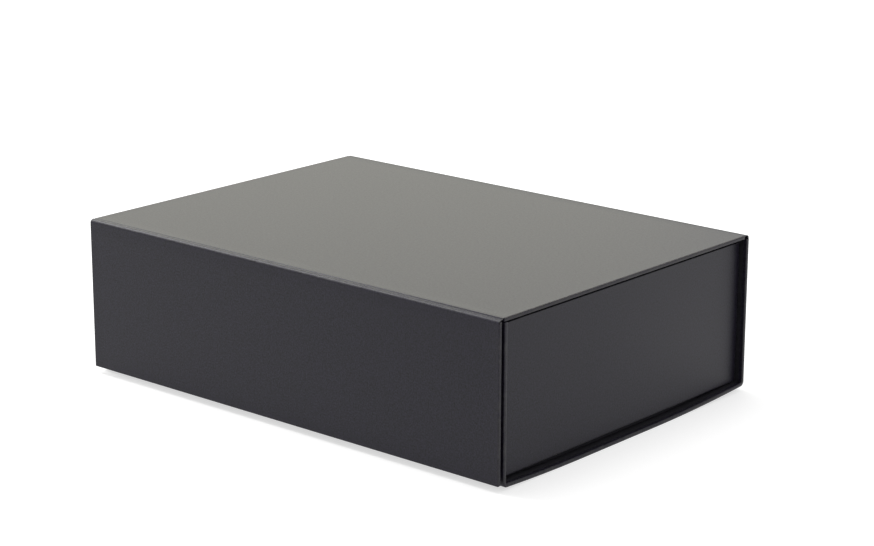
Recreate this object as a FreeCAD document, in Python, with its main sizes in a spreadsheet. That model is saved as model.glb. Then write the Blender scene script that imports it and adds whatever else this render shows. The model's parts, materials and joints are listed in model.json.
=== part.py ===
import FreeCAD, Part
import math
import os
from types import SimpleNamespace

import Sketcher

# Folding magnetic gift box, closed: a wrapped strip of five boards with two fold-in end walls.
# Frame in mm: +Z up, the front flap faces -Y, the length runs along X.
# The origin is the centre of the footprint, on the surface that the box stands on.

# Driving sizes: alias, value in mm, meaning
SIZES = [
    ("box_length", 330.0, "ends of the strip, along X"),
    ("box_depth", 240.0, "flap's outer face to spine's outer face, along Y"),
    ("box_height", 100.0, "floor to top of lid"),
    ("board", 2.0, "greyboard"),
    ("paper", 0.15, "wrap and liner paper"),
    ("turn_in", 15.0, "wrap turned over a board's edge, measured from the edge"),
    ("liner_margin", 2.5, "liner's edge in from a turned edge"),
    ("flap_lift", 4.0, "flap's free edge above the floor"),
    ("flap_gap", 2.6, "flap to front wall"),
    ("groove_width", 2.3, "lid board to the inside of flap or spine, across a top crease"),
    ("front_fold_radius", 3.0, "outside of the crease between lid and flap"),
    ("back_fold_radius", 2.5, "outside of the crease between spine and lid"),
    ("flap_strip_leg", 4.2, "top crease paper down the flap, from the top of the lid"),
    ("spine_drop", 2.8, "top of spine below top of lid"),
    ("lid_gap", 0.3, "lid's liner above the walls"),
    ("crease_radius", 3.2, "outside of the two base creases"),
    ("bow_radius", 1400.0, "sag of the base on each side of its flat middle"),
    ("bow_flat", 67.5, "flat middle of the base, along Y"),
    ("bow_shift", 11.2, "flat middle towards the front wall, from the middle between the walls"),
    ("end_inset", 5.0, "end wall in from the end of the strip"),
    ("end_drop", 2.55, "end wall's upper edge below the front wall's"),
    ("end_fit", 0.45, "end wall to the liners of front wall and spine"),
    ("end_lift", 0.25, "end wall above the base's liner at the back crease"),
    ("end_strip_reach", 10.0, "bottom hinge paper along the base"),
    ("ear_card", 1.0, "card of an ear"),
    ("ear_width", 28.0, "ear from its hinge to its far edge"),
    ("ear_gap", 0.35, "ear to the inside of its end wall"),
    ("ear_foot", 14.7, "ear's lower corner above the end wall's lower edge"),
    ("ear_head", 3.5, "ear's upper corner below the end wall's upper edge"),
    ("ear_taper", 12.0, "how far the ear narrows, top and bottom, to its far edge"),
    ("ear_turn_in", 5.0, "wrap turned over an ear's edge"),
    ("ear_strip_width", 9.0, "side hinge paper, along X"),
    ("tape_width", 12.0, "adhesive tape, along X"),
    ("tape_margin", 1.4, "adhesive tape's corners to the turned-in wrap, along Z"),
    ("tape_thickness", 0.3, "adhesive tape"),
    ("magnet_diameter", 15.0, "magnet disc, as thick as the board"),
    ("magnet_clearance", 0.1, "round a magnet in its hole, on the radius"),
    ("magnet_spacing", 220.0, "between the two magnets of a panel"),
    ("magnet_height", 32.0, "magnet's centre above the floor"),
]


class Size:
    """A length together with the sheet formula that it follows."""

    def __init__(self, value, formula):
        self.value = float(value)
        self.formula = formula

    def __neg__(self):
        return self * -1

    def __add__(self, other):
        other = as_size(other)
        return Size(self.value + other.value, f"({self.formula} + {other.formula})")

    def __sub__(self, other):
        other = as_size(other)
        return Size(self.value - other.value, f"({self.formula} - {other.formula})")

    def __mul__(self, other):
        other = as_size(other)
        return Size(self.value * other.value, f"({self.formula} * {other.formula})")

    def __truediv__(self, other):
        other = as_size(other)
        return Size(self.value / other.value, f"({self.formula} / {other.formula})")


def as_size(number):
    """A plain number is its own formula."""
    if isinstance(number, Size):
        return number
    return Size(number, f"({number})")


def square_root(size):
    return Size(math.sqrt(size.value), f"sqrt({size.formula})")


doc = FreeCAD.newDocument("gift_box")
sizes_sheet = doc.addObject("Spreadsheet::Sheet", "Sizes")
fits_sheet = doc.addObject("Spreadsheet::Sheet", "Fits")
fit_names = []
pieces = []


def driving_sizes():
    """Fill the first sheet and return its sizes by name."""
    by_name = {}
    for row, (alias, value, meaning) in enumerate(SIZES, start=1):
        sizes_sheet.set(f"A{row}", alias)
        sizes_sheet.set(f"B{row}", str(value))
        sizes_sheet.set(f"C{row}", meaning)
        sizes_sheet.setAlias(f"B{row}", alias)
        by_name[alias] = Size(value, f"Sizes.{alias}")
    return SimpleNamespace(**by_name)


def fit(alias, size):
    """Give a place or size that several pieces share a row in the second sheet."""
    fit_names.append(alias)
    row = len(fit_names)
    fits_sheet.set(f"A{row}", alias)
    fits_sheet.set(f"B{row}", f"={size.formula}")
    fits_sheet.setAlias(f"B{row}", alias)
    return Size(size.value, f"Fits.{alias}")


s = driving_sizes()

# A trim or depth of nothing
flush = s.paper * 0

# Faces and edges of the strip's panels
wall = fit("wall", s.board + s.paper * 2)
half_length = fit("half_length", s.box_length / 2)
half_depth = fit("half_depth", s.box_depth / 2)
front_face = fit("front_face", wall + s.flap_gap - half_depth)
front_inside = fit("front_inside", front_face + wall)
spine_inside = fit("spine_inside", half_depth - wall)
lid_edge = fit("lid_edge", spine_inside - s.groove_width)
wall_top = fit("wall_top", s.box_height - wall - s.paper - s.lid_gap)
spine_top = fit("spine_top", s.box_height - s.spine_drop)
flap_top = fit("flap_top", s.box_height - s.front_fold_radius)
flap_strip_end = fit("flap_strip_end", s.box_height - s.flap_strip_leg)

# Profile of the base: flat middle, two shallow arcs that meet two crease arcs
flat_middle = fit("flat_middle", (front_face + half_depth) / 2 - s.bow_shift)
flat_front = fit("flat_front", flat_middle - s.bow_flat / 2)
flat_back = fit("flat_back", flat_middle + s.bow_flat / 2)
bow_to_crease = fit("bow_to_crease", s.bow_radius - s.crease_radius)


def bow_height(name, reach):
    """How far a crease arc's centre stands below the bow's centre, by their distance along Y."""
    return fit(name, square_root(bow_to_crease * bow_to_crease - reach * reach))


front_reach = fit("front_reach", flat_front - front_face - s.crease_radius)
back_reach = fit("back_reach", half_depth - s.crease_radius - flat_back)
front_bow = bow_height("front_bow", front_reach)
back_bow = bow_height("back_bow", back_reach)
front_crease = fit("front_crease", s.bow_radius - front_bow)
back_crease = fit("back_crease", s.bow_radius - back_bow)

# End walls and their ears
bow_share = (s.bow_radius - wall - s.paper) / bow_to_crease
end_bottom = fit("end_bottom", s.bow_radius - back_bow * bow_share + s.end_lift)
end_top = fit("end_top", wall_top - s.end_drop)
end_front = fit("end_front", front_inside + s.paper + s.end_fit)
end_back = fit("end_back", spine_inside - s.paper - s.end_fit)
end_middle = fit("end_middle", (end_front + end_back) / 2)
half_end = fit("half_end", (end_back - end_front) / 2)
end_face = fit("end_face", half_length - s.end_inset)
end_inside = fit("end_inside", end_face - wall)
ear_thickness = fit("ear_thickness", s.ear_card + s.paper * 2)
ear_hinge = fit("ear_hinge", end_inside - s.ear_gap)
ear_low = fit("ear_low", end_bottom + s.ear_foot)
ear_high = fit("ear_high", end_top - s.ear_head)
ear_rise = fit("ear_rise", s.ear_taper / s.ear_width)
ear_slant = fit("ear_slant", square_root(ear_rise * ear_rise + 1))
tape_far_corner = fit("tape_far_corner", (s.ear_width + s.tape_width) / 2)
tape_trim = fit("tape_trim", ear_rise * tape_far_corner + ear_slant * s.ear_turn_in + s.tape_margin)


def new_body(name):
    body = doc.addObject("PartDesign::Body", name)
    body.Label = name
    pieces.append(body)
    return body


def vector(point):
    return FreeCAD.Vector(point[0].value, point[1].value, 0)


def arc_geometry(start, end, centre, radius):
    """Shorter arc between two points, and whether it runs from the first to the second."""
    first = vector(start) - vector(centre)
    second = vector(end) - vector(centre)
    forward = first.x * second.y - first.y * second.x > 0
    if not forward:
        first, second = second, first
    circle = Part.Circle(vector(centre), FreeCAD.Vector(0, 0, 1), radius.value)
    start_angle = math.atan2(first.y, first.x)
    end_angle = math.atan2(second.y, second.x)
    return Part.ArcOfCircle(circle, start_angle, end_angle), forward


def new_sketch(body, name, plane):
    sketch = body.newObject("Sketcher::SketchObject", name)
    base_plane = next(f for f in body.Origin.OriginFeatures if f.Role == plane)
    sketch.AttachmentSupport = [(base_plane, "")]
    sketch.MapMode = "FlatFace"
    return sketch


def drive(sketch, constraint, size):
    index = sketch.addConstraint(constraint)
    sketch.setExpression(f"Constraints[{index}]", size.formula)


def drive_point(sketch, edge, end, point):
    """Hold one end of an edge at a place measured from the sketch's origin."""
    across, up = point
    drive(sketch, Sketcher.Constraint("DistanceX", -1, 1, edge, end, across.value), across)
    drive(sketch, Sketcher.Constraint("DistanceY", -1, 1, edge, end, up.value), up)


def outline(body, name, plane, points, arcs=None):
    """Closed sketch through points; arcs gives centre and radius by the number of the edge."""
    arcs = arcs or {}
    sketch = new_sketch(body, name, plane)
    ends = []
    for number, point in enumerate(points):
        following = points[(number + 1) % len(points)]
        forward = True
        if number in arcs:
            geometry, forward = arc_geometry(point, following, *arcs[number])
        else:
            geometry = Part.LineSegment(vector(point), vector(following))
        sketch.addGeometry(geometry, False)
        ends.append((1, 2) if forward else (2, 1))
    for number, point in enumerate(points):
        before = number - 1 if number else len(points) - 1
        sketch.addConstraint(
            Sketcher.Constraint("Coincident", before, ends[before][1], number, ends[number][0])
        )
        drive_point(sketch, number, ends[number][0], point)
    for number, (_centre, radius) in arcs.items():
        drive(sketch, Sketcher.Constraint("Radius", number, radius.value), radius)
    return sketch


def extrude(body, kind, sketch, length, side="Symmetric"):
    feature = body.newObject(f"PartDesign::{kind}", sketch.Name + "_" + kind.lower())
    feature.Profile = sketch
    feature.SideType = side
    feature.setExpression("Length", length.formula)
    doc.recompute()
    return feature


def pad(body, sketch, length):
    return extrude(body, "Pad", sketch, length)


def pocket(body, sketch, length, side="Symmetric", away=False):
    """Cut the sketch out of the body, and stop if nothing was cut."""
    volume_before = body.Shape.Volume
    feature = extrude(body, "Pocket", sketch, length, side)
    if away:
        feature.Reversed = True
        doc.recompute()
    if body.Shape.Volume >= volume_before:
        raise RuntimeError(f"{feature.Name} cuts nothing")
    return feature


class Panel:
    """A flat wrapped board: its cross-section, and half of its length.

    The section runs from low to high along the panel, and inwards from the outer face.
    A turned edge has the wrap folded over it onto the inside; the other edges meet a crease.
    """

    def __init__(self, name, outer, inward, low, high, half_span, standing=True,
                 turned_low=False, turned_high=False, plane="YZ_Plane", middle=None):
        self.name = name
        self.outer = outer
        self.inward = inward
        self.low = low
        self.high = high
        self.half_span = half_span
        self.standing = standing
        self.turned_low = turned_low
        self.turned_high = turned_high
        self.plane = plane
        self.middle = middle

    def section(self, trim_low, trim_high, near, far):
        """Rectangle of the section between two depths, short of both edges by the trims."""
        low = self.low + trim_low
        high = self.high - trim_high
        first = self.outer + near * self.inward
        second = self.outer + far * self.inward
        if self.standing:
            return [(first, low), (second, low), (second, high), (first, high)]
        return [(low, first), (low, second), (high, second), (high, first)]

    def body(self, kind):
        body = new_body(f"{self.name}_{kind}")
        if self.middle is not None:
            body.setExpression("Placement.Base.y", self.middle.formula)
        return body

    def sketch(self, body, what, *section):
        return outline(body, f"{body.Label}_{what}", self.plane, self.section(*section))

    def make_board(self):
        body = self.body("board")
        sketch = self.sketch(body, "sheet", s.paper, s.paper, s.paper, s.paper + s.board)
        pad(body, sketch, (self.half_span - s.paper) * 2)
        return body

    def window_trims(self):
        """How far the bare inside of the board stays from the low and the high edge."""
        trim_low = s.turn_in if self.turned_low else s.paper
        trim_high = s.turn_in if self.turned_high else s.paper
        return trim_low, trim_high

    def make_wrap(self):
        """Paper over the outer face and round every edge, open over the window inside."""
        body = self.body("wrap")
        outside = self.sketch(body, "outside", flush, flush, flush, wall)
        pad(body, outside, self.half_span * 2)
        hollow = self.sketch(body, "hollow", s.paper, s.paper, s.paper, s.paper + s.board)
        pocket(body, hollow, (self.half_span - s.paper) * 2)
        window = self.sketch(body, "window", *self.window_trims(), s.paper + s.board, wall + s.paper)
        pocket(body, window, (self.half_span - s.turn_in) * 2)
        return body

    def make_liner(self):
        """Paper over the inside: on the turned-in wrap at the rims, one sheet lower between."""
        body = self.body("liner")
        window_low, window_high = self.window_trims()
        rim_low = s.liner_margin if self.turned_low else s.paper
        rim_high = s.liner_margin if self.turned_high else s.paper
        rim = self.sketch(body, "rim", rim_low, rim_high, wall, wall + s.paper)
        pad(body, rim, (self.half_span - s.liner_margin) * 2)
        sheet = self.sketch(body, "sheet", window_low, window_high, wall - s.paper, wall)
        pad(body, sheet, (self.half_span - s.turn_in) * 2)
        # The dip stops one paper short of the window, where the sheet steps down
        dip_low = window_low + s.paper if self.turned_low else -s.paper
        dip_high = window_high + s.paper if self.turned_high else -s.paper
        dip = self.sketch(body, "dip", dip_low, dip_high, wall, wall + s.paper * 2)
        pocket(body, dip, (self.half_span - s.turn_in - s.paper) * 2)
        return body


def magnet_holes(board):
    """Two round holes through a standing board."""
    sketch = new_sketch(board, f"{board.Label}_holes", "XZ_Plane")
    hole_radius = s.magnet_diameter / 2 + s.magnet_clearance
    for number, side in enumerate((-1, 1)):
        centre = (s.magnet_spacing / 2 * side, s.magnet_height)
        circle = Part.Circle(vector(centre), FreeCAD.Vector(0, 0, 1), hole_radius.value)
        sketch.addGeometry(circle, False)
        drive_point(sketch, number, 3, centre)
        drive(sketch, Sketcher.Constraint("Radius", number, hole_radius.value), hole_radius)
    pocket(board, sketch, s.box_depth * 2)


def magnets(panel_name, board_face):
    """Two magnet discs that fill the holes of their board."""
    for side, sign in (("left", -1), ("right", 1)):
        disc = doc.addObject("Part::Cylinder", f"{panel_name}_magnet_{side}")
        disc.Label = disc.Name
        disc.setExpression("Radius", (s.magnet_diameter / 2).formula)
        disc.setExpression("Height", s.board.formula)
        disc.Placement.Rotation = FreeCAD.Rotation(FreeCAD.Vector(1, 0, 0), -90)
        disc.setExpression("Placement.Base.x", (s.magnet_spacing / 2 * sign).formula)
        disc.setExpression("Placement.Base.y", board_face.formula)
        disc.setExpression("Placement.Base.z", s.magnet_height.formula)
        pieces.append(disc)


def make_flap():
    panel = Panel("flap", -half_depth, 1, s.flap_lift, flap_top, half_length, turned_low=True)
    magnet_holes(panel.make_board())
    wrap = panel.make_wrap()
    # The crease paper takes the place of the wrap's outer skin along the top
    step_height = flap_top - flap_strip_end
    bare_top = panel.sketch(wrap, "step", flap_strip_end - s.flap_lift, -step_height, -s.paper, s.paper)
    pocket(wrap, bare_top, s.box_length + s.board)
    panel.make_liner()
    magnets("flap", s.paper - half_depth)


def make_lid():
    panel = Panel("lid", s.box_height, -1, -lid_edge, lid_edge, half_length, standing=False)
    panel.make_board()
    panel.make_wrap()
    panel.make_liner()


def make_spine():
    panel = Panel("spine", half_depth, -1, back_crease, spine_top, half_length)
    panel.make_board()
    panel.make_wrap()
    panel.make_liner()


def make_front_wall():
    panel = Panel("front_wall", front_face, 1, front_crease, wall_top, half_length, turned_high=True)
    magnet_holes(panel.make_board())
    panel.make_wrap()
    panel.make_liner()
    magnets("front_wall", front_face + s.paper)


def base_run(depth, creases):
    """Points and arcs of the base's profile, front to back, at a depth below its outer face."""
    share = (s.bow_radius - depth) / bow_to_crease
    bow = s.bow_radius - depth
    points = [
        (flat_front - front_reach * share, s.bow_radius - front_bow * share),
        (flat_front, depth),
        (flat_back, depth),
        (flat_back + back_reach * share, s.bow_radius - back_bow * share),
    ]
    arcs = [((flat_front, s.bow_radius), bow), None, ((flat_back, s.bow_radius), bow)]
    if creases:
        crease = s.crease_radius - depth
        points = [(front_face + depth, front_crease), *points, (half_depth - depth, back_crease)]
        front_centre = (front_face + s.crease_radius, front_crease)
        back_centre = (half_depth - s.crease_radius, back_crease)
        arcs = [(front_centre, crease), *arcs, (back_centre, crease)]
    return points, arcs


def base_outline(body, what, near, far, creases=False):
    """Closed profile of the base between two depths."""
    near_points, near_arcs = base_run(near, creases)
    far_points, far_arcs = base_run(far, creases)
    points = near_points + far_points[::-1]
    edges = near_arcs + [None] + far_arcs[::-1]
    arcs = {number: edge for number, edge in enumerate(edges) if edge is not None}
    return outline(body, f"{body.Label}_{what}", "YZ_Plane", points, arcs)


def make_base():
    """The base and its two creases: the wrap goes on round both of them to the walls."""
    board = new_body("base_board")
    sheet = base_outline(board, "sheet", s.paper, s.paper + s.board)
    pad(board, sheet, (half_length - s.paper) * 2)

    wrap = new_body("base_wrap")
    pad(wrap, base_outline(wrap, "outside", flush, wall, creases=True), s.box_length)
    hollow = base_outline(wrap, "hollow", s.paper, s.paper + s.board, creases=True)
    pocket(wrap, hollow, (half_length - s.paper) * 2)
    window = base_outline(wrap, "window", s.paper + s.board, wall + s.paper)
    pocket(wrap, window, (half_length - s.turn_in) * 2)

    liner = new_body("base_liner")
    pad(liner, base_outline(liner, "rim", wall, wall + s.paper), (half_length - s.liner_margin) * 2)
    pad(liner, base_outline(liner, "sheet", wall - s.paper, wall), (half_length - s.turn_in) * 2)
    dip = base_outline(liner, "dip", wall, wall + s.paper * 2)
    pocket(liner, dip, (half_length - s.turn_in - s.paper) * 2)


def make_top_crease(name, sign, radius, leg_end):
    """Crease paper from the lid board's edge round the top corner to a standing panel."""
    body = new_body(name)
    outside = half_depth
    inside = half_depth - s.paper
    fold = half_depth - radius
    fold_height = s.box_height - radius
    underside = s.box_height - s.paper
    run = [
        (lid_edge, s.box_height),
        (fold, s.box_height),
        (outside, fold_height),
        (outside, leg_end),
        (inside, leg_end),
        (inside, fold_height),
        (fold, underside),
        (lid_edge, underside),
    ]
    points = [(across * sign, up) for across, up in run]
    centre = (fold * sign, fold_height)
    arcs = {1: (centre, radius), 5: (centre, radius - s.paper)}
    pad(body, outline(body, f"{name}_profile", "YZ_Plane", points, arcs), s.box_length)


def make_end_wall(side, sign):
    panel = Panel(f"{side}_end", end_face * sign, -sign, end_bottom, end_top, half_end,
                  turned_low=True, turned_high=True, plane="XZ_Plane", middle=end_middle)
    panel.make_board()
    panel.make_wrap()
    panel.make_liner()

    # Hinge paper along the bottom: up the inside of the wall and in along the base
    hinge = panel.body("hinge_paper")
    paper_face = end_inside - s.paper
    reach = end_inside - s.end_strip_reach
    under = end_bottom - s.paper
    leg_top = end_bottom + s.liner_margin
    run = [
        (end_inside, under),
        (end_inside, leg_top),
        (paper_face, leg_top),
        (paper_face, end_bottom),
        (reach, end_bottom),
        (reach, under),
    ]
    points = [(across * sign, up) for across, up in run]
    pad(hinge, outline(hinge, f"{side}_end_hinge_profile", "XZ_Plane", points), half_end * 2)


def ear_points(sign, inset):
    """Corners of an ear's face, with every edge moved in by the inset."""
    near = ear_hinge - inset
    far = ear_hinge - s.ear_width + inset
    near_cut = ear_rise * inset + ear_slant * inset
    far_cut = ear_rise * (s.ear_width - inset) + ear_slant * inset
    return [
        (near * sign, ear_low + near_cut),
        (far * sign, ear_low + far_cut),
        (far * sign, ear_high - far_cut),
        (near * sign, ear_high - near_cut),
    ]


def ear_body(name, middle):
    body = new_body(name)
    body.setExpression("Placement.Base.y", middle.formula)
    return body


def plain_block(name, low, high):
    """Box between two opposite corners."""
    block = doc.addObject("Part::Box", name)
    block.Label = name
    for corner, axis, length in zip(range(3), "xyz", ("Length", "Width", "Height")):
        block.setExpression(length, (high[corner] - low[corner]).formula)
        block.setExpression(f"Placement.Base.{axis}", low[corner].formula)
    pieces.append(block)


def make_ear(side, sign, place, facing):
    """Ear of one end wall: card, wrap open on the glued side, tape and side hinge paper.

    facing is the direction along Y of the side that is glued to the front wall or the spine.
    """
    name = f"{side}_{place}_ear"
    glued_face = end_front if facing < 0 else end_back
    middle = glued_face - ear_thickness / 2 * facing

    card = ear_body(f"{name}_card", middle)
    pad(card, outline(card, f"{name}_card_face", "XZ_Plane", ear_points(sign, s.paper)), s.ear_card)

    wrap = ear_body(f"{name}_wrap", middle)
    pad(wrap, outline(wrap, f"{name}_outside", "XZ_Plane", ear_points(sign, flush)), ear_thickness)
    hollow = outline(wrap, f"{name}_hollow", "XZ_Plane", ear_points(sign, s.paper))
    pocket(wrap, hollow, s.ear_card)
    window = outline(wrap, f"{name}_window", "XZ_Plane", ear_points(sign, s.ear_turn_in))
    pocket(wrap, window, ear_thickness, side="One side", away=facing < 0)

    # Tape on the bare card inside the window, proud of the wrap
    card_face = glued_face - s.paper * facing
    tape_face = card_face + s.tape_thickness * facing
    tape_middle = (ear_hinge - s.ear_width / 2) * sign
    tape_low = ear_low + tape_trim
    tape_high = ear_high - tape_trim
    plain_block(
        f"{name}_tape",
        (tape_middle - s.tape_width / 2, tape_face if facing < 0 else card_face, tape_low),
        (tape_middle + s.tape_width / 2, card_face if facing < 0 else tape_face, tape_high),
    )

    # Flat paper over the end wall's edge and the first stretch of the ear
    strip_trim = ear_rise * s.ear_strip_width
    strip_inner = (end_face - s.ear_strip_width) * sign
    strip_outer = end_face * sign
    paper_face = glued_face + s.paper * facing
    plain_block(
        f"{name}_hinge_paper",
        (strip_outer if sign < 0 else strip_inner, paper_face if facing < 0 else glued_face,
         ear_low + strip_trim),
        (strip_inner if sign < 0 else strip_outer, glued_face if facing < 0 else paper_face,
         ear_high - strip_trim),
    )


def check_and_export():
    """Stop on any failed object, then write each piece to its own file."""
    doc.recompute()
    failed = [obj.Name for obj in doc.Objects if {"Invalid", "Error"} & set(obj.State)]
    for piece in pieces:
        shape = piece.Shape
        if shape.isNull() or not shape.isValid() or len(shape.Solids) != 1:
            failed.append(piece.Label)
    if failed:
        raise RuntimeError("failed: " + ", ".join(failed))
    os.makedirs("parts", exist_ok=True)
    for piece in pieces:
        piece.Shape.exportStep(f"parts/{piece.Label}.step")
    print(f"{len(pieces)} pieces")


make_base()
make_front_wall()
make_spine()
make_lid()
make_flap()
make_top_crease("lid_hinge_paper", 1, s.back_fold_radius, spine_top)
make_top_crease("flap_hinge_paper", -1, s.front_fold_radius, flap_strip_end)
for side_name, side_sign in (("left", -1), ("right", 1)):
    make_end_wall(side_name, side_sign)
    make_ear(side_name, side_sign, "front", -1)
    make_ear(side_name, side_sign, "back", 1)
check_and_export()
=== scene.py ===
import json
import math

import bmesh
import bpy
from mathutils import Matrix, Vector, noise
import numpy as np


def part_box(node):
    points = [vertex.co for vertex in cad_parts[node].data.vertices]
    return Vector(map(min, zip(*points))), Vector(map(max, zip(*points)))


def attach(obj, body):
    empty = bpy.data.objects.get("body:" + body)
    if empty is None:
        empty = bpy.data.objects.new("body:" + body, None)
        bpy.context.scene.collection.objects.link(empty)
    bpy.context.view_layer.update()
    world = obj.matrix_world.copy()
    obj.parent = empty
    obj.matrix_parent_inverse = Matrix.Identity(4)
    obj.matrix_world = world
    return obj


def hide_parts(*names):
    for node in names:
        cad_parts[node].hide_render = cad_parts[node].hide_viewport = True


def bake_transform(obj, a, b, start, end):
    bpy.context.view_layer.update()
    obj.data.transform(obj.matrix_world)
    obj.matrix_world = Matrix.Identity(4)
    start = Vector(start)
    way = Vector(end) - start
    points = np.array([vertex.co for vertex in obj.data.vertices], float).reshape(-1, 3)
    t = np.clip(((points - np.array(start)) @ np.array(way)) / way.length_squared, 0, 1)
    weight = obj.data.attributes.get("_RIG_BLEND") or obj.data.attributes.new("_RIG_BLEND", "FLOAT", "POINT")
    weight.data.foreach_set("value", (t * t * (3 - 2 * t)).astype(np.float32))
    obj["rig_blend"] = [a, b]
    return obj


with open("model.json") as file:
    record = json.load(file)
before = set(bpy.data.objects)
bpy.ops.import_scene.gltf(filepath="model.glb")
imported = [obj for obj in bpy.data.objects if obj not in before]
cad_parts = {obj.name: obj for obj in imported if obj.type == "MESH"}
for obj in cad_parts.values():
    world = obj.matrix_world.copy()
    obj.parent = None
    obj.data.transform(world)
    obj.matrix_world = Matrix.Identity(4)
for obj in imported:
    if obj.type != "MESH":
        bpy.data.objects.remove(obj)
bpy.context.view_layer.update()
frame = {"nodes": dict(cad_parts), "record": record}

# Magnetic gift box in black matt paper over greyboard.
# Metres: +Z up, the front flap faces -Y, the length runs along X.

MM = 0.001
X, Y, Z = range(3)
SIDES = (("left", -1), ("right", 1))

# Papers and boards
PAPER = 0.15 * MM
WALL = 2.3 * MM
TURN_IN = 15 * MM
LINER_MARGIN = 2.5 * MM
LINER_THICKNESS = PAPER * 0.96

# The box, as the CAD has it
HALF_LENGTH = 165 * MM
STRIP_WINDOW = (TURN_IN - HALF_LENGTH, HALF_LENGTH - TURN_IN)
LID_TOP = 100 * MM
LID_EDGE = 115.4 * MM
FLAP_FACE = -120 * MM
BACK_FACE = 120 * MM
FRONT_FACE = -115.1 * MM
FRONT_TOP = 97.25 * MM
SPINE_TOP = 97.2 * MM
END_INSIDE = 157.7 * MM
END_FOOT = 5.72 * MM

# Profile of the tray's strip of boards: two base creases and a bowed base with a flat middle
CREASE_RADIUS = 3.2 * MM
BOW_RADIUS = 1400 * MM
BOW_FLAT = 67.5 * MM
BOW_SHIFT = 11.2 * MM
FLAT_MIDDLE = (FRONT_FACE + BACK_FACE) / 2 - BOW_SHIFT
FLAT_FRONT = FLAT_MIDDLE - BOW_FLAT / 2
FLAT_BACK = FLAT_MIDDLE + BOW_FLAT / 2
BOW_TO_CREASE = BOW_RADIUS - CREASE_RADIUS
FRONT_ANGLE = math.asin((FLAT_FRONT - FRONT_FACE - CREASE_RADIUS) / BOW_TO_CREASE)
BACK_ANGLE = math.asin((BACK_FACE - CREASE_RADIUS - FLAT_BACK) / BOW_TO_CREASE)
FRONT_CREASE = BOW_RADIUS - BOW_TO_CREASE * math.cos(FRONT_ANGLE)
BACK_CREASE = BOW_RADIUS - BOW_TO_CREASE * math.cos(BACK_ANGLE)
CREASE_STEPS = 8
FRONT_BOW_STEPS = 12
BACK_BOW_STEPS = 16
FRONT_WALL_LIMIT = -112 * MM

# Mesh grid, rounded folds and tolerances
GRID = 9 * MM
FOLD = 0.42 * MM
FOLD_STEPS = 3
FOLD_REACH = FOLD + 0.02 * MM
TIGHT = 0.3 * MM
ARC_CUTS = (0, 22, 45, 67)
MERGE = 0.03 * MM
TOUCH = 1e-6
SAME = 1e-7
BOARD_SMOOTHING = 40
BEND_SMOOTHING = 60

# How far flat faces sink, and where in the noise each board reads it
WARP = 0.025 * MM
WARP_SCALE = 17
SEED_SHIFT = (7.3, 3.1, 5.7)


# Meshes

def corners(name):
    low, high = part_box(name)
    return Vector(low), Vector(high)


def block(low, high):
    bm = bmesh.new()
    bmesh.ops.create_cube(bm, size=1)
    bmesh.ops.scale(bm, vec=high - low, verts=bm.verts)
    bmesh.ops.translate(bm, vec=(low + high) / 2, verts=bm.verts)
    return bm


def chain(bm, points):
    """Edges through a run of points."""
    line = [bm.verts.new(point) for point in points]
    for first, second in zip(line, line[1:]):
        bm.edges.new((first, second))


def draw_out(bm, move):
    """Draw all edges out into faces along a vector."""
    made = bmesh.ops.extrude_edge_only(bm, edges=bm.edges[:])
    drawn = [v for v in made["geom"] if isinstance(v, bmesh.types.BMVert)]
    bmesh.ops.translate(bm, vec=move, verts=drawn)


def edges_at(bm, first, second):
    """Edges that lie at two places, each given as an axis and the place on it."""
    places = (first, second)
    return [e for e in bm.edges
            if all(abs(v.co[axis] - place) < SAME for v in e.verts for axis, place in places)]


def round_over(bm, edges, radius=FOLD, steps=FOLD_STEPS):
    bmesh.ops.bevel(bm, geom=edges, offset=radius, offset_type="OFFSET", segments=steps,
                    profile=0.5, affect="EDGES", material=-1, clamp_overlap=True)


def score(bm, axis, places):
    """Cut straight across the whole mesh at each place along an axis."""
    normal = Vector((0, 0, 0))
    normal[axis] = 1
    for place in places:
        bmesh.ops.bisect_plane(bm, geom=bm.verts[:] + bm.edges[:] + bm.faces[:],
                               plane_co=normal * place, plane_no=normal, dist=SAME)


def even_places(low, high, count):
    """Places that part a span into equal lengths."""
    return [low + (high - low) * k / count for k in range(1, count)]


def grid_places(low, high, edge=FOLD):
    """Places for an even grid, with a tight line just inside each folded edge."""
    tight = edge + TIGHT
    count = max(2, round((high - low) / GRID))
    return [low + tight, *even_places(low, high, count), high - tight]


def soften(bm, first, second, radius):
    """Draw the corner between two faces back onto an arc.

    Each face is given as its axis, its place and the sign of its outward side.
    """
    depths = [radius * (1 - math.sin(math.radians(cut))) for cut in ARC_CUTS]
    for axis, place, sign in (first, second):
        score(bm, axis, [place - sign * depth for depth in depths])
    for v in bm.verts:
        out = [(v.co[axis] - place) * sign + radius for axis, place, sign in (first, second)]
        if min(out) > 0 and math.hypot(*out) > radius:
            for (axis, place, sign), length in zip((first, second), out):
                v.co[axis] = place + sign * (length * radius / math.hypot(*out) - radius)


def mark_folds(bm, low, high):
    """Fold mask: 1 on the rounded edges of a box, where a highlight is painted."""
    folds = bm.verts.layers.float.new("fold")
    for v in bm.verts:
        near = sum(min(v.co[a] - low[a], high[a] - v.co[a]) < FOLD_REACH for a in range(3))
        v[folds] = 1.0 if near >= 2 else 0.0


def warp(bm, seed):
    """Let the flat faces sink a little, unevenly, as board under paper does."""
    bm.normal_update()
    folds = bm.verts.layers.float["fold"]
    shift = Vector([seed * step for step in SEED_SHIFT])
    moves = {}
    for v in bm.verts:
        if v[folds] > 0.5:
            continue
        share = 0.5 + 0.5 * noise.noise(v.co * WARP_SCALE + shift)
        moves[v] = v.normal * (-WARP * share)
    for v, move in moves.items():
        v.co += move


def turn_normals(bm, face, axis, sign):
    """Reverse the whole sheet where one face's normal points the wrong way along an axis."""
    if face.normal[axis] * sign < 0:
        bmesh.ops.reverse_faces(bm, faces=bm.faces[:])


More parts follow.
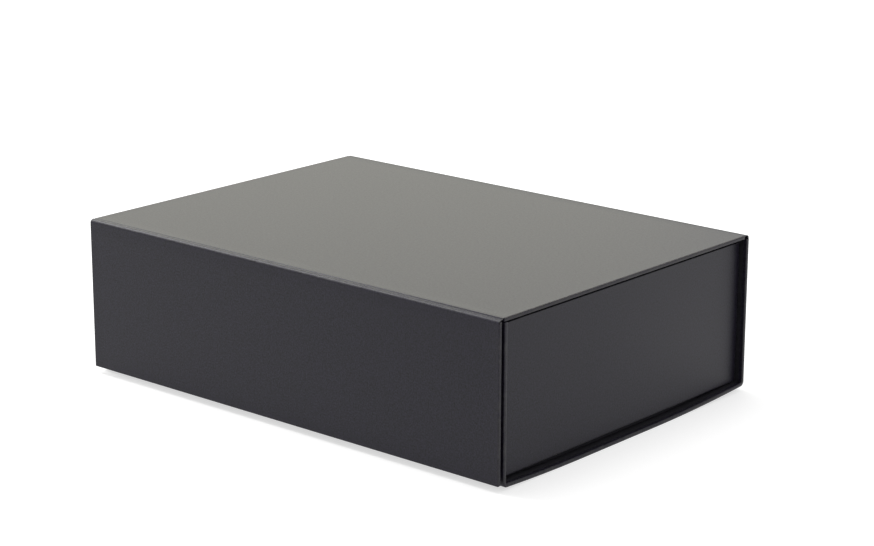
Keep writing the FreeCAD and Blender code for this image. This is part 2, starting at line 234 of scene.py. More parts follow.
def give_thickness(bm, thickness):
    """Grow the sheet's faces inwards, away from their normals."""
    bmesh.ops.solidify(bm, geom=bm.faces[:], thickness=thickness)


def finish_piece(bm, name, material, smooth_angle=BOARD_SMOOTHING):
    mesh = bpy.data.meshes.new(name)
    bmesh.ops.remove_doubles(bm, verts=bm.verts, dist=SAME)
    bmesh.ops.recalc_face_normals(bm, faces=bm.faces)
    for face in bm.faces:
        face.smooth = True
    bm.to_mesh(mesh)
    bm.free()
    mesh.set_sharp_from_angle(angle=math.radians(smooth_angle))
    mesh.materials.append(material)
    piece = bpy.data.objects.new(name, mesh)
    bpy.context.scene.collection.objects.link(piece)
    return piece


# Shader nodes

FLOAT = "NodeSocketFloat"
COLOUR = "NodeSocketColor"


def new_group(name, inputs, outputs):
    group = bpy.data.node_groups.new(name, "ShaderNodeTree")
    for label, kind, value in inputs:
        socket = group.interface.new_socket(name=label, in_out="INPUT", socket_type=kind)
        if value is not None:
            socket.default_value = value
    for label, kind in outputs:
        group.interface.new_socket(name=label, in_out="OUTPUT", socket_type=kind)
    given = group.nodes.new("NodeGroupInput").outputs
    result = group.nodes.new("NodeGroupOutput").inputs
    return group, given, result


def node(tree, kind, **settings):
    made = tree.nodes.new("ShaderNode" + kind)
    for key, value in settings.items():
        setattr(made, key, value)
    return made


def set_inputs(made, **values):
    """Set a node's inputs by name, with an underscore for each space."""
    for label, value in values.items():
        made.inputs[label.replace("_", " ")].default_value = value


def noise_at(tree, coordinates, scale, detail, roughness, stretch=None):
    source = coordinates
    if stretch:
        mapping = node(tree, "Mapping")
        mapping.inputs["Scale"].default_value = stretch
        tree.links.new(coordinates, mapping.inputs["Vector"])
        source = mapping.outputs["Vector"]
    pattern = node(tree, "TexNoise")
    set_inputs(pattern, Scale=scale, Detail=detail, Roughness=roughness)
    tree.links.new(source, pattern.inputs["Vector"])
    return pattern.outputs["Fac"]


def remap(tree, value, low, high, new_low, new_high):
    made = node(tree, "MapRange")
    set_inputs(made, From_Min=low, From_Max=high, To_Min=new_low, To_Max=new_high)
    tree.links.new(value, made.inputs["Value"])
    return made.outputs["Result"]


def calculate(tree, operation, first, second):
    made = node(tree, "Math", operation=operation)
    for number, value in enumerate((first, second)):
        if isinstance(value, (int, float)):
            made.inputs[number].default_value = value
        else:
            tree.links.new(value, made.inputs[number])
    return made.outputs[0]


def total(tree, first, *others):
    for other in others:
        first = calculate(tree, "ADD", first, other)
    return first


def centred(tree, pattern, amount):
    """A pattern's swing about its middle, times an amount."""
    return calculate(tree, "MULTIPLY", calculate(tree, "SUBTRACT", pattern, 0.5), amount)


def scale_colour(tree, colour, factor):
    made = node(tree, "VectorMath", operation="SCALE")
    tree.links.new(colour, made.inputs[0])
    tree.links.new(factor, made.inputs["Scale"])
    return made.outputs[0]


def mix_colour(tree, factor, first, second):
    made = node(tree, "Mix", data_type="RGBA")
    for label, value in (("Factor", factor), ("A", first), ("B", second)):
        tree.links.new(value, made.inputs[label])
    return made.outputs["Result"]


def two_tone(tree, factor, dark, light):
    """Colour between two tones, each given as its place on the ramp and its colour."""
    ramp = node(tree, "ValToRGB")
    for stop, (position, colour) in zip(ramp.color_ramp.elements, (dark, light)):
        stop.position = position
        stop.color = (*colour, 1)
    tree.links.new(factor, ramp.inputs["Fac"])
    return ramp.outputs["Color"]


def add_bump(tree, shader, height, distance):
    bump = node(tree, "Bump")
    bump.inputs["Distance"].default_value = distance
    tree.links.new(height, bump.inputs["Height"])
    tree.links.new(bump.outputs["Normal"], shader.inputs["Normal"])


def object_coordinates(tree):
    return node(tree, "TexCoord").outputs["Object"]


def new_material(name, **shader_values):
    material = bpy.data.materials.new(name)
    material.use_nodes = True
    tree = material.node_tree
    shader = next(n for n in tree.nodes if n.type == "BSDF_PRINCIPLED")
    set_inputs(shader, **shader_values)
    return material, tree, shader


# Materials; each noise is given as its scale, detail and roughness

CLOUD = (22, 3, 0.55)
MOTTLE = (420, 3, 0.6)
FINE = (1000, 2, 0.6)
GRIT = (2600, 2, 0.5)
FIBRE = (900, 2, 0.4)
FIBRE_STRETCH = (0.16, 1, 1)
# Patches of the painted highlight on the folds
HIGHLIGHT_PATCHES = (160, 3, 0.6)
HIGHLIGHT_RANGE = (0.42, 0.62)
FINE_SHARE = 3.0
MOTTLE_RELIEF = 0.6
GRIT_RELIEF = 0.25
GLOSS_RANGE = (0.43, 0.58)

PLATING_MARKS = (1500, 2, 0.5)
PLATING_STRETCH = (1, 1, 0.05)
PLATING_PATCHES = (180, 3, 0.6)
TAPE_STREAKS = (300, 3, 0.5)
TAPE_STRETCH = (1, 1, 0.2)
TAPE_BUBBLES = 700
MARKS_RANGE = (0.3, 0.7)


def paper_grain_group():
    """Paper surface: cloudy blotches, fine mottle and stray fibres, with a painted highlight in patches on
    the folds.
    """
    group, given, result = new_group(
        "paper_grain",
        [("Colour", COLOUR, None), ("Worn Colour", COLOUR, None), ("Cloud", FLOAT, 0.1),
         ("Mottle", FLOAT, 0.1), ("Fibre", FLOAT, 0.1), ("Wear", FLOAT, 0.3),
         ("Roughness", FLOAT, 0.5), ("Roughness Spread", FLOAT, 0.05)],
        [("Colour", COLOUR), ("Roughness", FLOAT), ("Height", FLOAT), ("Shine", FLOAT)])
    place = object_coordinates(group)
    mottle = noise_at(group, place, *MOTTLE)
    fibre = noise_at(group, place, *FIBRE, stretch=FIBRE_STRETCH)
    cloud_part = centred(group, noise_at(group, place, *CLOUD), given["Cloud"])
    mottle_part = centred(group, mottle, given["Mottle"])
    fine_part = centred(group, noise_at(group, place, *FINE), given["Mottle"])
    fibre_part = centred(group, fibre, given["Fibre"])
    group.links.new(total(group, fine_part, 1.0), result["Shine"])

    speckle = total(group, mottle_part, calculate(group, "MULTIPLY", fine_part, FINE_SHARE))
    plain = scale_colour(group, given["Colour"], total(group, cloud_part, speckle, fibre_part, 1.0))
    # Painted highlight: on the rounded folds, in patches, the paper turns towards the lighter fold colour.
    folds = node(group, "Attribute", attribute_name="fold").outputs["Fac"]
    patchy = remap(group, noise_at(group, place, *HIGHLIGHT_PATCHES), *HIGHLIGHT_RANGE, 0.0, 1.0)
    fold_highlight = calculate(group, "MULTIPLY", calculate(group, "MULTIPLY", folds, patchy), given["Wear"])
    group.links.new(mix_colour(group, fold_highlight, plain, given["Worn Colour"]), result["Colour"])

    rough_part = centred(group, mottle, given["Roughness Spread"])
    group.links.new(total(group, given["Roughness"], rough_part), result["Roughness"])

    grit_height = calculate(group, "MULTIPLY", noise_at(group, place, *GRIT), GRIT_RELIEF)
    mottle_height = calculate(group, "MULTIPLY", mottle, MOTTLE_RELIEF)
    height = total(group, mottle_height, total(group, grit_height, fibre_part))
    group.links.new(height, result["Height"])
    return group


PAPER_GRAIN = paper_grain_group()


def paper_material(name, colour, fold_highlight, relief, shader_values, gloss=None, **amounts):
    """Paper with its grain; gloss gives the strength of a soft shine that comes at a low angle."""
    material, tree, shader = new_material(name, **shader_values)
    grain = node(tree, "Group", node_tree=PAPER_GRAIN)
    # The lighter fold colour given here is a painted highlight on the rounded edges.
    set_inputs(grain, Colour=(*colour, 1), Worn_Colour=(*fold_highlight, 1), **amounts)
    if gloss:
        facing = node(tree, "LayerWeight").outputs["Facing"]
        low_angle = remap(tree, facing, *GLOSS_RANGE, 0, gloss)
        coat = calculate(tree, "MULTIPLY", low_angle, grain.outputs["Shine"])
        tree.links.new(coat, shader.inputs["Coat Weight"])
    tree.links.new(grain.outputs["Colour"], shader.inputs["Base Color"])
    tree.links.new(grain.outputs["Roughness"], shader.inputs["Roughness"])
    add_bump(tree, shader, grain.outputs["Height"], relief)
    return material


def magnet_metal():
    """Nickel plating with fine turning marks and a few dull patches."""
    material, tree, shader = new_material("nickel_plating", Metallic=1.0)
    place = object_coordinates(tree)
    marks = noise_at(tree, place, *PLATING_MARKS, stretch=PLATING_STRETCH)
    tone = two_tone(tree, noise_at(tree, place, *PLATING_PATCHES),
                    (0.35, (0.42, 0.41, 0.39)), (0.62, (0.62, 0.61, 0.58)))
    tree.links.new(tone, shader.inputs["Base Color"])
    tree.links.new(remap(tree, marks, *MARKS_RANGE, 0.22, 0.4), shader.inputs["Roughness"])
    add_bump(tree, shader, marks, 0.004 * MM)
    return material


def tape_film():
    """Milky double-sided tape with trapped bubbles."""
    material, tree, shader = new_material("milky_tape", Specular_IOR_Level=0.5)
    place = object_coordinates(tree)
    bubbles = node(tree, "TexVoronoi", feature="SMOOTH_F1")
    bubbles.inputs["Scale"].default_value = TAPE_BUBBLES
    tree.links.new(place, bubbles.inputs["Vector"])
    streaks = noise_at(tree, place, *TAPE_STREAKS, stretch=TAPE_STRETCH)
    tone = two_tone(tree, streaks, (0.3, (0.58, 0.55, 0.46)), (0.7, (0.74, 0.72, 0.64)))
    tree.links.new(tone, shader.inputs["Base Color"])
    tree.links.new(remap(tree, streaks, *MARKS_RANGE, 0.3, 0.5), shader.inputs["Roughness"])
    add_bump(tree, shader, bubbles.outputs["Distance"], 0.05 * MM)
    return material


# In the papers below, the lighter fold colour and its share paint a highlight on the rounded folds.
wrap_paper = paper_material(
    "black_wrap_paper", colour=(0.0105, 0.0092, 0.0165), fold_highlight=(0.122, 0.12, 0.105),
    relief=0.008 * MM, gloss=0.18,
    shader_values={"Specular_IOR_Level": 0.25, "Coat_Roughness": 0.28, "Coat_IOR": 1.5},
    Cloud=0.15, Mottle=1.3, Fibre=0.3, Wear=0.14, Roughness=0.40, Roughness_Spread=0.12)
liner_paper = paper_material(
    "black_liner_paper", colour=(0.014, 0.0135, 0.017), fold_highlight=(0.075, 0.073, 0.076),
    relief=0.012 * MM, shader_values={"Specular_IOR_Level": 0.15},
    Cloud=0.15, Mottle=0.35, Fibre=0.9, Wear=0.2, Roughness=0.66, Roughness_Spread=0.1)
greyboard = paper_material(
    "greyboard", colour=(0.30, 0.275, 0.24), fold_highlight=(0.40, 0.37, 0.33),
    relief=0.04 * MM, shader_values={"Specular_IOR_Level": 0.25},
    Cloud=0.2, Mottle=0.55, Fibre=1.1, Wear=0.0, Roughness=0.85, Roughness_Spread=0.1)
nickel = magnet_metal()
tape = tape_film()

CARRIED_OVER = {"wrap_paper": wrap_paper, "liner_paper": liner_paper, "greyboard": greyboard,
                "magnet": nickel, "adhesive_tape": tape}
for row in frame["record"]["subparts"]:
    part = frame["nodes"][row["node"]]
    part.data.materials.clear()
    part.data.materials.append(CARRIED_OVER[row["material_slot"]])


# Wrapped boards: outer paper, turned over each free edge and open over the board inside

LID_END_RADIUS = 0.6 * MM
FLAP_TOP_RADIUS = 1.8 * MM
FLAP_RAISED = 1.4 * MM


def wrapped_board(name, replaced, body, inner_axis, inner_sign, turned, seed, soft=(), raised=0):
    """Paper round one flat board.

    inner_axis and inner_sign point at the side where the board shows; turned gives, for each of
    the other two axes, whether its low and its high edge have the paper turned in; soft lists
    corners that are rounder than the rest, and raised lifts the top into a crease.
    """
    low, high = corners(replaced)
    high.z += raised
    bm = block(low, high)
    round_over(bm, bm.edges[:])
    spans = [a for a in range(3) if a != inner_axis]
    window = {}
    for axis in spans:
        score(bm, axis, grid_places(low[axis], high[axis]))
        first = low[axis] + (TURN_IN if turned[axis][0] else FOLD)
        last = high[axis] - (TURN_IN if turned[axis][1] else FOLD)
        if axis == Z:
            last -= raised
        window[axis] = (first, last)
        score(bm, axis, [first, last])
    mark_folds(bm, low, high)
    warp(bm, seed)
    for first, second, radius in soft:
        soften(bm, first, second, radius)
    bmesh.ops.remove_doubles(bm, verts=bm.verts, dist=MERGE)
    inner_face = high[inner_axis] if inner_sign > 0 else low[inner_axis]
    bare = []
    for face in bm.faces:
        centre = face.calc_center_median()
        if abs(centre[inner_axis] - inner_face) > 2 * WARP:
            continue
        if all(window[a][0] < centre[a] < window[a][1] for a in spans):
            bare.append(face)
    bmesh.ops.delete(bm, geom=bare, context="FACES")
    give_thickness(bm, PAPER)
    piece = finish_piece(bm, name, wrap_paper)
    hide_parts(replaced)
    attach(piece, body)


lid_ends = [((X, HALF_LENGTH * sign, sign), (Z, LID_TOP, 1), LID_END_RADIUS) for _, sign in SIDES]
wrapped_board("lid_cover", "lid_wrap", "lid", Z, -1, {X: (1, 1), Y: (0, 0)}, 1, soft=lid_ends)

flap_low, flap_high = corners("flap_wrap")
flap_top = ((Y, FLAP_FACE, -1), (Z, flap_high.z + FLAP_RAISED, 1), FLAP_TOP_RADIUS)
wrapped_board("flap_cover", "flap_wrap", "flap", Y, 1, {X: (1, 1), Z: (1, 0)}, 2,
              soft=[flap_top], raised=FLAP_RAISED)

for side, sign in SIDES:
    wrapped_board(f"{side}_end_cover", f"{side}_end_wrap", f"{side}_end", X, -sign,
                  {Y: (1, 1), Z: (1, 1)}, 3 + sign)


# The tray's strip: front wall, base and spine under one paper

RIM_SLACK = 0.2 * MM
INSIDE_SLACK = 0.1 * MM
WALL_LEVELS = [k * 10 * MM for k in range(1, 10)]


def strip_profile(bm, depth, front_top, spine_top):
    """Bent line of the tray, from the front wall's top to the spine's, below its outer face."""
    def turn(vertex, centre_y, centre_z, angle, steps):
        made = bmesh.ops.spin(bm, geom=[vertex], cent=(0, centre_y, centre_z), axis=(1, 0, 0),
                              angle=angle, steps=steps, use_duplicate=False)
        return next(v for v in made["geom_last"] if isinstance(v, bmesh.types.BMVert))

    def straight(vertex, y, z):
        end = bm.verts.new((0, y, z))
        bm.edges.new((vertex, end))
        return end

    quarter = math.pi / 2
    at = bm.verts.new((0, FRONT_FACE + depth, front_top))
    at = straight(at, FRONT_FACE + depth, FRONT_CREASE)
    at = turn(at, FRONT_FACE + CREASE_RADIUS, FRONT_CREASE, quarter - FRONT_ANGLE, CREASE_STEPS)
    at = turn(at, FLAT_FRONT, BOW_RADIUS, FRONT_ANGLE, FRONT_BOW_STEPS)
    at = straight(at, FLAT_BACK, depth)
    at = turn(at, FLAT_BACK, BOW_RADIUS, BACK_ANGLE, BACK_BOW_STEPS)
    at = turn(at, BACK_FACE - CREASE_RADIUS, BACK_CREASE, quarter - BACK_ANGLE, CREASE_STEPS)
    straight(at, BACK_FACE - depth, spine_top)


def strip_sheet(depth, front_top, spine_top, half_length):
    """The bent line drawn out along X; its normals face away from the inside of the box."""
    bm = bmesh.new()
    strip_profile(bm, depth, front_top, spine_top)
    draw_out(bm, (half_length * 2, 0, 0))
    bmesh.ops.translate(bm, vec=(-half_length, 0, 0), verts=bm.verts)
    bm.normal_update()
    turn_normals(bm, min(bm.faces, key=lambda f: f.calc_center_median().z), Z, -1)
    return bm


def inside_depth(point):
    """How deep a point lies below the tray's outer face."""
    y, z = point.y, point.z
    for centre_y, centre_z, towards in ((FRONT_FACE + CREASE_RADIUS, FRONT_CREASE, -1),
                                        (BACK_FACE - CREASE_RADIUS, BACK_CREASE, 1)):
        if (y - centre_y) * towards > 0:
            if z > centre_z:
                return CREASE_RADIUS - (y - centre_y) * towards
            return CREASE_RADIUS - math.hypot(y - centre_y, z - centre_z)
    return BOW_RADIUS - math.hypot(max(0, abs(y - FLAT_MIDDLE) - BOW_FLAT / 2), BOW_RADIUS - z)


def base_inside(y):
    """Height of the liner's face on the bowed base."""
    out = max(0, abs(y - FLAT_MIDDLE) - BOW_FLAT / 2)
    return BOW_RADIUS - math.sqrt((BOW_RADIUS - WALL - PAPER) ** 2 - out ** 2)


def on_rim(edge):
    """Whether an edge of the solid strip runs along an end or along the front wall's top."""
    a, b = (v.co for v in edge.verts)
    at_end = all(abs(abs(co.x) - HALF_LENGTH) < TOUCH for co in (a, b)) and a.x * b.x > 0
    across = abs((a - b).length - WALL) < RIM_SLACK
    at_top = all(abs(co.z - FRONT_TOP) < TOUCH for co in (a, b)) and a.y < 0
    return (at_end and not across) or at_top


def tray_cover():
    bm = strip_sheet(0, FRONT_TOP, SPINE_TOP, HALF_LENGTH)
    give_thickness(bm, WALL)
    bmesh.ops.recalc_face_normals(bm, faces=bm.faces)
    round_over(bm, [edge for edge in bm.edges if on_rim(edge)])
    score(bm, X, [*grid_places(-HALF_LENGTH, HALF_LENGTH), *STRIP_WINDOW])
    score(bm, Z, [FRONT_TOP - TURN_IN, FRONT_TOP - FOLD - TIGHT] + WALL_LEVELS)
    # Fold mask for the painted highlight on the tray's ends and on the front wall's top.
    folds = bm.verts.layers.float.new("fold")
    for v in bm.verts:
        highlit_end = HALF_LENGTH - abs(v.co.x) < FOLD_REACH
        highlit_top = v.co.y < 0 and FRONT_TOP - v.co.z < FOLD_REACH
        v[folds] = 1.0 if highlit_end or highlit_top else 0.0
    bare = []
    for face in bm.faces:
        centre = face.calc_center_median()
        on_front_turn_in = centre.y < FRONT_WALL_LIMIT and centre.z > FRONT_TOP - TURN_IN
        if abs(centre.x) > HALF_LENGTH - TURN_IN or on_front_turn_in:
            continue
        if inside_depth(centre) > WALL - INSIDE_SLACK:
            bare.append(face)
    bmesh.ops.delete(bm, geom=bare, context="FACES")
    bmesh.ops.recalc_face_normals(bm, faces=bm.faces)
    give_thickness(bm, PAPER)
    piece = finish_piece(bm, "tray_cover", wrap_paper)
    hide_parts("front_wall_wrap", "base_wrap", "spine_wrap")
    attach(piece, "tray")


tray_cover()


# Liners: paper over the inside, with the turned-in wrap's edges showing through as soft steps

STEP = 1.2 * MM


def step_places(place):
    return [place + STEP * k / 4 for k in (-2, -1, 0, 1, 2)]


def soft_step(distance):
    """0 outside a window and 1 inside it, easing over the width of a step."""
    t = min(1, max(0, distance / STEP + 0.5))
    return t * t * (3 - 2 * t)


def flat_liner(name, body, axis, sign, window):
    """Liner of a flat panel: a grid that sinks by one paper inside the window."""
    low, high = corners(name)
    face = high[axis] if sign > 0 else low[axis]
    spans = [a for a in range(3) if a != axis]
    bm = block(low, high)
    other = [f for f in bm.faces if abs(f.calc_center_median()[axis] - face) > TOUCH]
    bmesh.ops.delete(bm, geom=other, context="FACES")
    for a in spans:
        score(bm, a, grid_places(low[a], high[a], 0))
        for place in window[a]:
            if place is not None:
                score(bm, a, step_places(place))
    for v in bm.verts:
        inside = 1.0
        for a in spans:
            first, last = window[a]
            if first is not None:
                inside = min(inside, soft_step(v.co[a] - first))
            if last is not None:
                inside = min(inside, soft_step(last - v.co[a]))
        v.co[axis] -= sign * PAPER * inside
    bmesh.ops.recalc_face_normals(bm, faces=bm.faces)
    bm.normal_update()
    turn_normals(bm, bm.faces[:][0], axis, sign)
    give_thickness(bm, LINER_THICKNESS)
    piece = finish_piece(bm, name.replace("liner", "lining"), liner_paper)
    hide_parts(name)
    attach(piece, body)


def tray_lining():
    """One liner up the front wall, over the base and up the spine."""
    bm = strip_sheet(WALL + PAPER, FRONT_TOP - LINER_MARGIN, SPINE_TOP - PAPER,
                     HALF_LENGTH - LINER_MARGIN)
    for place in STRIP_WINDOW:
        score(bm, X, step_places(place))
    score(bm, X, grid_places(-HALF_LENGTH + LINER_MARGIN, HALF_LENGTH - LINER_MARGIN, 0))
    edge = FRONT_TOP - TURN_IN
    score(bm, Z, step_places(edge))
    bm.normal_update()
    moves = {}
    for v in bm.verts:
        inside = soft_step(STRIP_WINDOW[1] - abs(v.co.x))
        if v.co.y < FRONT_WALL_LIMIT:
            inside = min(inside, soft_step(edge - v.co.z))
        moves[v] = v.normal * PAPER * inside
    for v, move in moves.items():
        v.co += move
    bmesh.ops.reverse_faces(bm, faces=bm.faces[:])
    give_thickness(bm, LINER_THICKNESS)
    piece = finish_piece(bm, "tray_lining", liner_paper)
    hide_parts("front_wall_liner", "base_liner", "spine_liner")
    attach(piece, "tray")


flat_liner("lid_liner", "lid", Z, -1, {X: STRIP_WINDOW, Y: (None, None)})
flat_liner("flap_liner", "flap", Y, 1, {X: STRIP_WINDOW, Z: (flap_low.z + TURN_IN, None)})
for side, sign in SIDES:
    low, high = corners(f"{side}_end_wrap")
    flat_liner(f"{side}_end_liner", f"{side}_end", X, -sign,
               {Y: (low.y + TURN_IN, high.y - TURN_IN), Z: (low.z + TURN_IN, high.z - TURN_IN)})
tray_lining()


# Creases between lid, flap and spine. Distances run outwards from the middle of the box, and
# each bend is given as its number in the run of points and its radius.

GROOVE = 0.5 * MM
GROOVE_REACH = 1.1 * GROOVE
RUN_START = 115.1 * MM
RUN_BRINK = 115.9 * MM
GROOVE_FLOOR = (116.25 * MM, 116.6 * MM)
RUN_RIDGE = 117.1 * MM
RUN_OUTSIDE = 120 * MM
START_SINK = 0.02 * MM
BRINK_SINK = 0.05 * MM
DROP_SLOPE = 0.55 * MM
RIDGE_REACH = 0.2 * MM
END_GAP = 0.3 * MM
HIGHLIGHT_DEPTH = 1.4 * MM
BENDS = ((1, 0.12 * MM), (2, 0.12 * MM), (3, 0.2 * MM), (4, 0.25 * MM))
OUTER_BEND = 5
BEND_STEPS = 6
CREASE_SLICES = 48


def paper_run(points, half_length, rounded):
    """Sheet through a few points in the YZ plane, drawn out along X, with its bends rounded."""
    bm = bmesh.new()
    chain(bm, [(-half_length, y, z) for y, z in points])
    draw_out(bm, (half_length * 2, 0, 0))
    for number, radius in rounded:
        y, z = points[number]
        round_over(bm, edges_at(bm, (Y, y), (Z, z)), radius, BEND_STEPS)
    score(bm, X, even_places(-half_length, half_length, CREASE_SLICES))
    return bm


def top_crease(name, replaced, parent, child, sign, shape_at, radius, leg_end, blend_from,
               blend_to):
    """Paper from the lid's edge, pressed into a groove and round a soft corner to a standing board.

    shape_at gives, by x, the ridge's drop, the groove's depth below it and how far both move
    outwards.
    """
    high = corners(replaced)[1]
    points = [(RUN_START, LID_TOP - START_SINK), (RUN_BRINK, LID_TOP - BRINK_SINK),
              *((floor, LID_TOP - GROOVE) for floor in GROOVE_FLOOR),
              (RUN_RIDGE, LID_TOP), (RUN_OUTSIDE, LID_TOP), (RUN_OUTSIDE, leg_end)]
    bm = paper_run([(y * sign, z) for y, z in points], high.x - END_GAP,
                   BENDS + ((OUTER_BEND, radius),))
    for v in bm.verts:
        drop, depth, shift = shape_at(v.co.x)
        across = v.co.y * sign
        down = drop * min(1, max(0, (v.co.z - leg_end) / (LID_TOP - leg_end)))
        down *= min(1, max(0, (across - RUN_BRINK) / DROP_SLOPE))
        if across < RUN_RIDGE + RIDGE_REACH and v.co.z > LID_TOP - GROOVE_REACH:
            down += (LID_TOP - v.co.z) * (depth / GROOVE - 1)
        v.co.z -= down
        arc = RUN_OUTSIDE - radius
        moved = min(1, (across - RUN_START) / (RUN_BRINK - RUN_START),
                    (arc - across) / (arc - RUN_RIDGE))
        v.co.y += sign * shift * max(0, moved)
    bmesh.ops.remove_doubles(bm, verts=bm.verts, dist=MERGE)
    # Fold mask for the painted highlight on the crease's outer ridge.
    folds = bm.verts.layers.float.new("fold")
    for v in bm.verts:
        v[folds] = 1.0 if v.co.y * sign > RUN_RIDGE and v.co.z > LID_TOP - HIGHLIGHT_DEPTH else 0.0
    bm.normal_update()
    turn_normals(bm, max(bm.faces, key=lambda f: f.calc_center_median().z), Z, 1)
    give_thickness(bm, PAPER * 2)
    piece = finish_piece(bm, name, wrap_paper, BEND_SMOOTHING)
    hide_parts(replaced)
    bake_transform(piece, parent, child, start=blend_from, end=blend_to)


def front_shape(x):
    """The front crease is level with the lid at the left end and pressed down at the right one."""
    share = min(1, max(0, (x + HALF_LENGTH) / (HALF_LENGTH * 2)))
    drop = (0.05 + 0.7 * share ** 2) * MM
    depth = (0.22 - 0.12 * share) * MM
    shift = 0.6 * share ** 2 * MM
    return drop, depth, shift


def back_shape(x):
    """The back crease has a groove whose depth swings a little along the box."""
    return 0.2 * MM, (0.36 + 0.05 * math.cos(x * 40)) * MM, 0


top_crease("flap_crease", "flap_hinge_paper", "lid", "flap", -1, front_shape,
           radius=2.2 * MM, leg_end=95.8 * MM,
           blend_from=(0, -LID_EDGE, LID_TOP), blend_to=(0, FLAP_FACE, 96.8 * MM))
top_crease("lid_crease", "lid_hinge_paper", "tray", "lid", 1, back_shape,
           radius=2.3 * MM, leg_end=SPINE_TOP,
           blend_from=(0, BACK_FACE, 97.4 * MM), blend_to=(0, LID_EDGE, LID_TOP))


# Paper hinges of the end walls and their ears

STRIP_REACH = 10 * MM
STRIP_BEND = 0.6 * MM
STRIP_BEND_STEPS = 4
STRIP_SLICES = 40
STRIP_SINK = 1.2 * PAPER
EAR_SLICES = {X: 24, Z: 8}
EAR_BLEND = (158.2 * MM, 155.6 * MM)


def end_hinge(side, sign):
    """Paper that holds an end wall: glued down on the bowed base and up the wall."""
    name = f"{side}_end_hinge_paper"
    low, high = corners(name)
    wall_face = (END_INSIDE - PAPER * 0.5) * sign
    foot = (END_INSIDE - STRIP_REACH) * sign
    bm = bmesh.new()
    chain(bm, [(foot, low.y, END_FOOT), (wall_face, low.y, END_FOOT), (wall_face, low.y, high.z)])
    draw_out(bm, (0, high.y - low.y, 0))
    round_over(bm, edges_at(bm, (X, wall_face), (Z, END_FOOT)), STRIP_BEND, STRIP_BEND_STEPS)
    score(bm, Y, even_places(low.y, high.y, STRIP_SLICES))
    for v in bm.verts:
        share = min(1, max(0, (high.z - v.co.z) / (high.z - END_FOOT)))
        v.co.z -= share * (END_FOOT - base_inside(v.co.y) - STRIP_SINK)
    bm.normal_update()
    turn_normals(bm, next(f for f in bm.faces if abs(f.normal.z) > 0.9), Z, 1)
    give_thickness(bm, PAPER)
    piece = finish_piece(bm, f"{side}_end_hinge", liner_paper, BEND_SMOOTHING)
    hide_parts(name)
    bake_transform(piece, "tray", f"{side}_end",
             start=(155 * MM * sign, 0, 3 * MM), end=(END_INSIDE * sign, 0, 6.9 * MM))


def ear_hinge(side, sign, place):
    """Paper from an end wall's edge to its ear."""
    name = f"{side}_{place}_ear_hinge_paper"
    low, high = corners(name)
    bm = block(low, high)
    for axis, count in EAR_SLICES.items():
        score(bm, axis, even_places(low[axis], high[axis], count))
    piece = finish_piece(bm, f"{side}_{place}_ear_hinge", wrap_paper, BEND_SMOOTHING)
    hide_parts(name)
    y = (low.y + high.y) / 2
    wall_side, ear_side = ((x * sign, y, 0) for x in EAR_BLEND)
    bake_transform(piece, f"{side}_end", f"{side}_{place}_ear", start=wall_side, end=ear_side)


for side, sign in SIDES:
    end_hinge(side, sign)
for side, sign in SIDES:
    for place in ("front", "back"):
        ear_hinge(side, sign, place)


# Camera, from the fit to the box's corners

FOCAL_PIXELS = 2420.293
WIDTH_PIXELS = 874
SENSOR = 36
CAMERA_PLACE = Vector((953.125, -1084.864, 474.905)) * MM
turn = math.radians(40.787)
rise = math.radians(15.651)
roll = math.radians(0.118)
back = Vector((math.sin(turn) * math.cos(rise), -math.cos(turn) * math.cos(rise), math.sin(rise)))
right = Vector((math.cos(turn), math.sin(turn), 0))
up = back.cross(right)
level_right = right * math.cos(roll) + up * math.sin(roll)
level_up = up * math.cos(roll) - right * math.sin(roll)
view = Matrix((level_right, level_up, back)).transposed().to_4x4()
view.translation = CAMERA_PLACE
lens = bpy.data.cameras.new("camera")
lens.sensor_width = SENSOR
lens.lens = FOCAL_PIXELS / WIDTH_PIXELS * SENSOR
camera = bpy.data.objects.new("camera", lens)
camera.matrix_world = view
bpy.context.scene.collection.objects.link(camera)
bpy.context.scene.camera = camera


# Floor, backdrop and lamps

FLOOR_SIZE = 12
FLOOR_TONE = (0.5, 0.5, 0.5, 1)
FLOOR_GLOW = 0.62
BACKDROP_LIGHT = 0.55
BACKDROP_SHOWN = 1.0
WHITE = (1, 1, 1)


def shown_directly(tree):
    """1 for what the camera sees, straight, mirrored or through glass; 0 for light that falls."""
    path = node(tree, "LightPath").outputs
    straight = calculate(tree, "MAXIMUM", path["Is Camera Ray"], path["Is Glossy Ray"])
    return calculate(tree, "MAXIMUM", straight, path["Is Transmission Ray"])


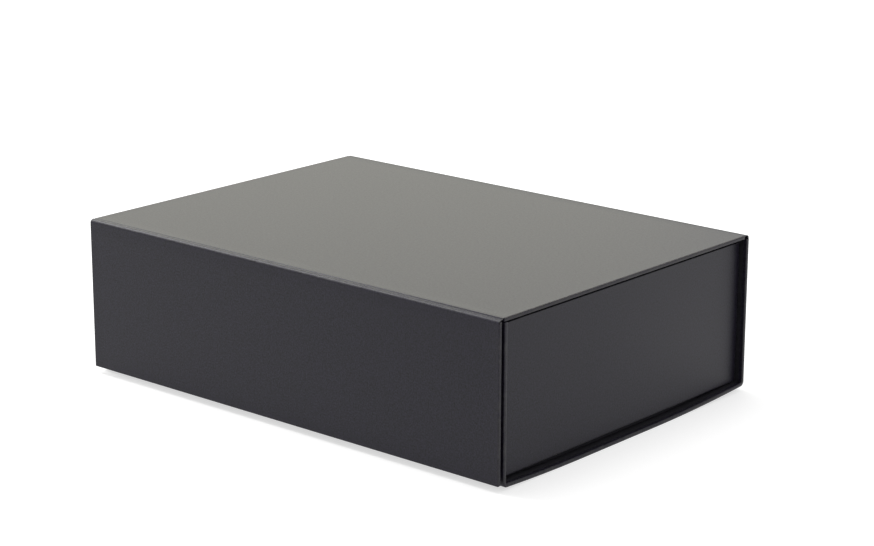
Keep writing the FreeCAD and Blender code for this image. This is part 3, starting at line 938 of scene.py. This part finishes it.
def pale_floor():
    bm = bmesh.new()
    bmesh.ops.create_grid(bm, x_segments=2, y_segments=2, size=FLOOR_SIZE)
    mesh = bpy.data.meshes.new("floor")
    bm.to_mesh(mesh)
    bm.free()
    floor = bpy.data.objects.new("floor", mesh)
    bpy.context.scene.collection.objects.link(floor)
    material, tree, shader = new_material("pale_floor", Roughness=0.9, Specular_IOR_Level=0.1)
    shader.inputs["Base Color"].default_value = FLOOR_TONE
    shader.inputs["Emission Color"].default_value = (*WHITE, 1)
    lift = calculate(tree, "MULTIPLY", shown_directly(tree), FLOOR_GLOW)
    tree.links.new(lift, shader.inputs["Emission Strength"])
    mesh.materials.append(material)


def pale_backdrop():
    world = bpy.data.worlds.new("studio")
    bpy.context.scene.world = world
    world.use_nodes = True
    sky = world.node_tree
    background = next(n for n in sky.nodes if n.type == "BACKGROUND")
    background.inputs["Color"].default_value = (*WHITE, 1)
    strength = remap(sky, shown_directly(sky), 0, 1, BACKDROP_LIGHT, BACKDROP_SHOWN)
    sky.links.new(strength, background.inputs["Strength"])


def softbox(name, place, target, size, power, colour=WHITE):
    lamp = bpy.data.lights.new(name, "AREA")
    lamp.color = colour
    lamp.shape = "RECTANGLE"
    lamp.size, lamp.size_y = size
    lamp.energy = power
    holder = bpy.data.objects.new(name, lamp)
    holder.location = place
    holder.rotation_euler = (Vector(target) - Vector(place)).to_track_quat("-Z", "Y").to_euler()
    bpy.context.scene.collection.objects.link(holder)


pale_floor()
pale_backdrop()
softbox("overhead_softbox", place=(-0.3, 0.2, 2.2), target=(0, 0, 0), size=(1.5, 1.5), power=26)
softbox("front_softbox", place=(-1.6, -2.2, 1.5), target=(0, 0, 0.05), size=(1.4, 1.4), power=4)
softbox("side_softbox", place=(2.2, -0.3, 1.4), target=(0, 0, 0.05), size=(1.2, 1.2), power=3)
softbox("left_softbox", place=(-2.2, -0.3, 2.0), target=(0, 0, 0.1), size=(1.6, 1.6), power=60)
softbox("back_softbox", place=(-2.95, 2.15, 1.2), target=(0, 0, 0.1), size=(3.2, 1.8), power=9,
        colour=(1, 1, 0.6))

bpy.context.scene.view_settings.view_transform = "Standard"
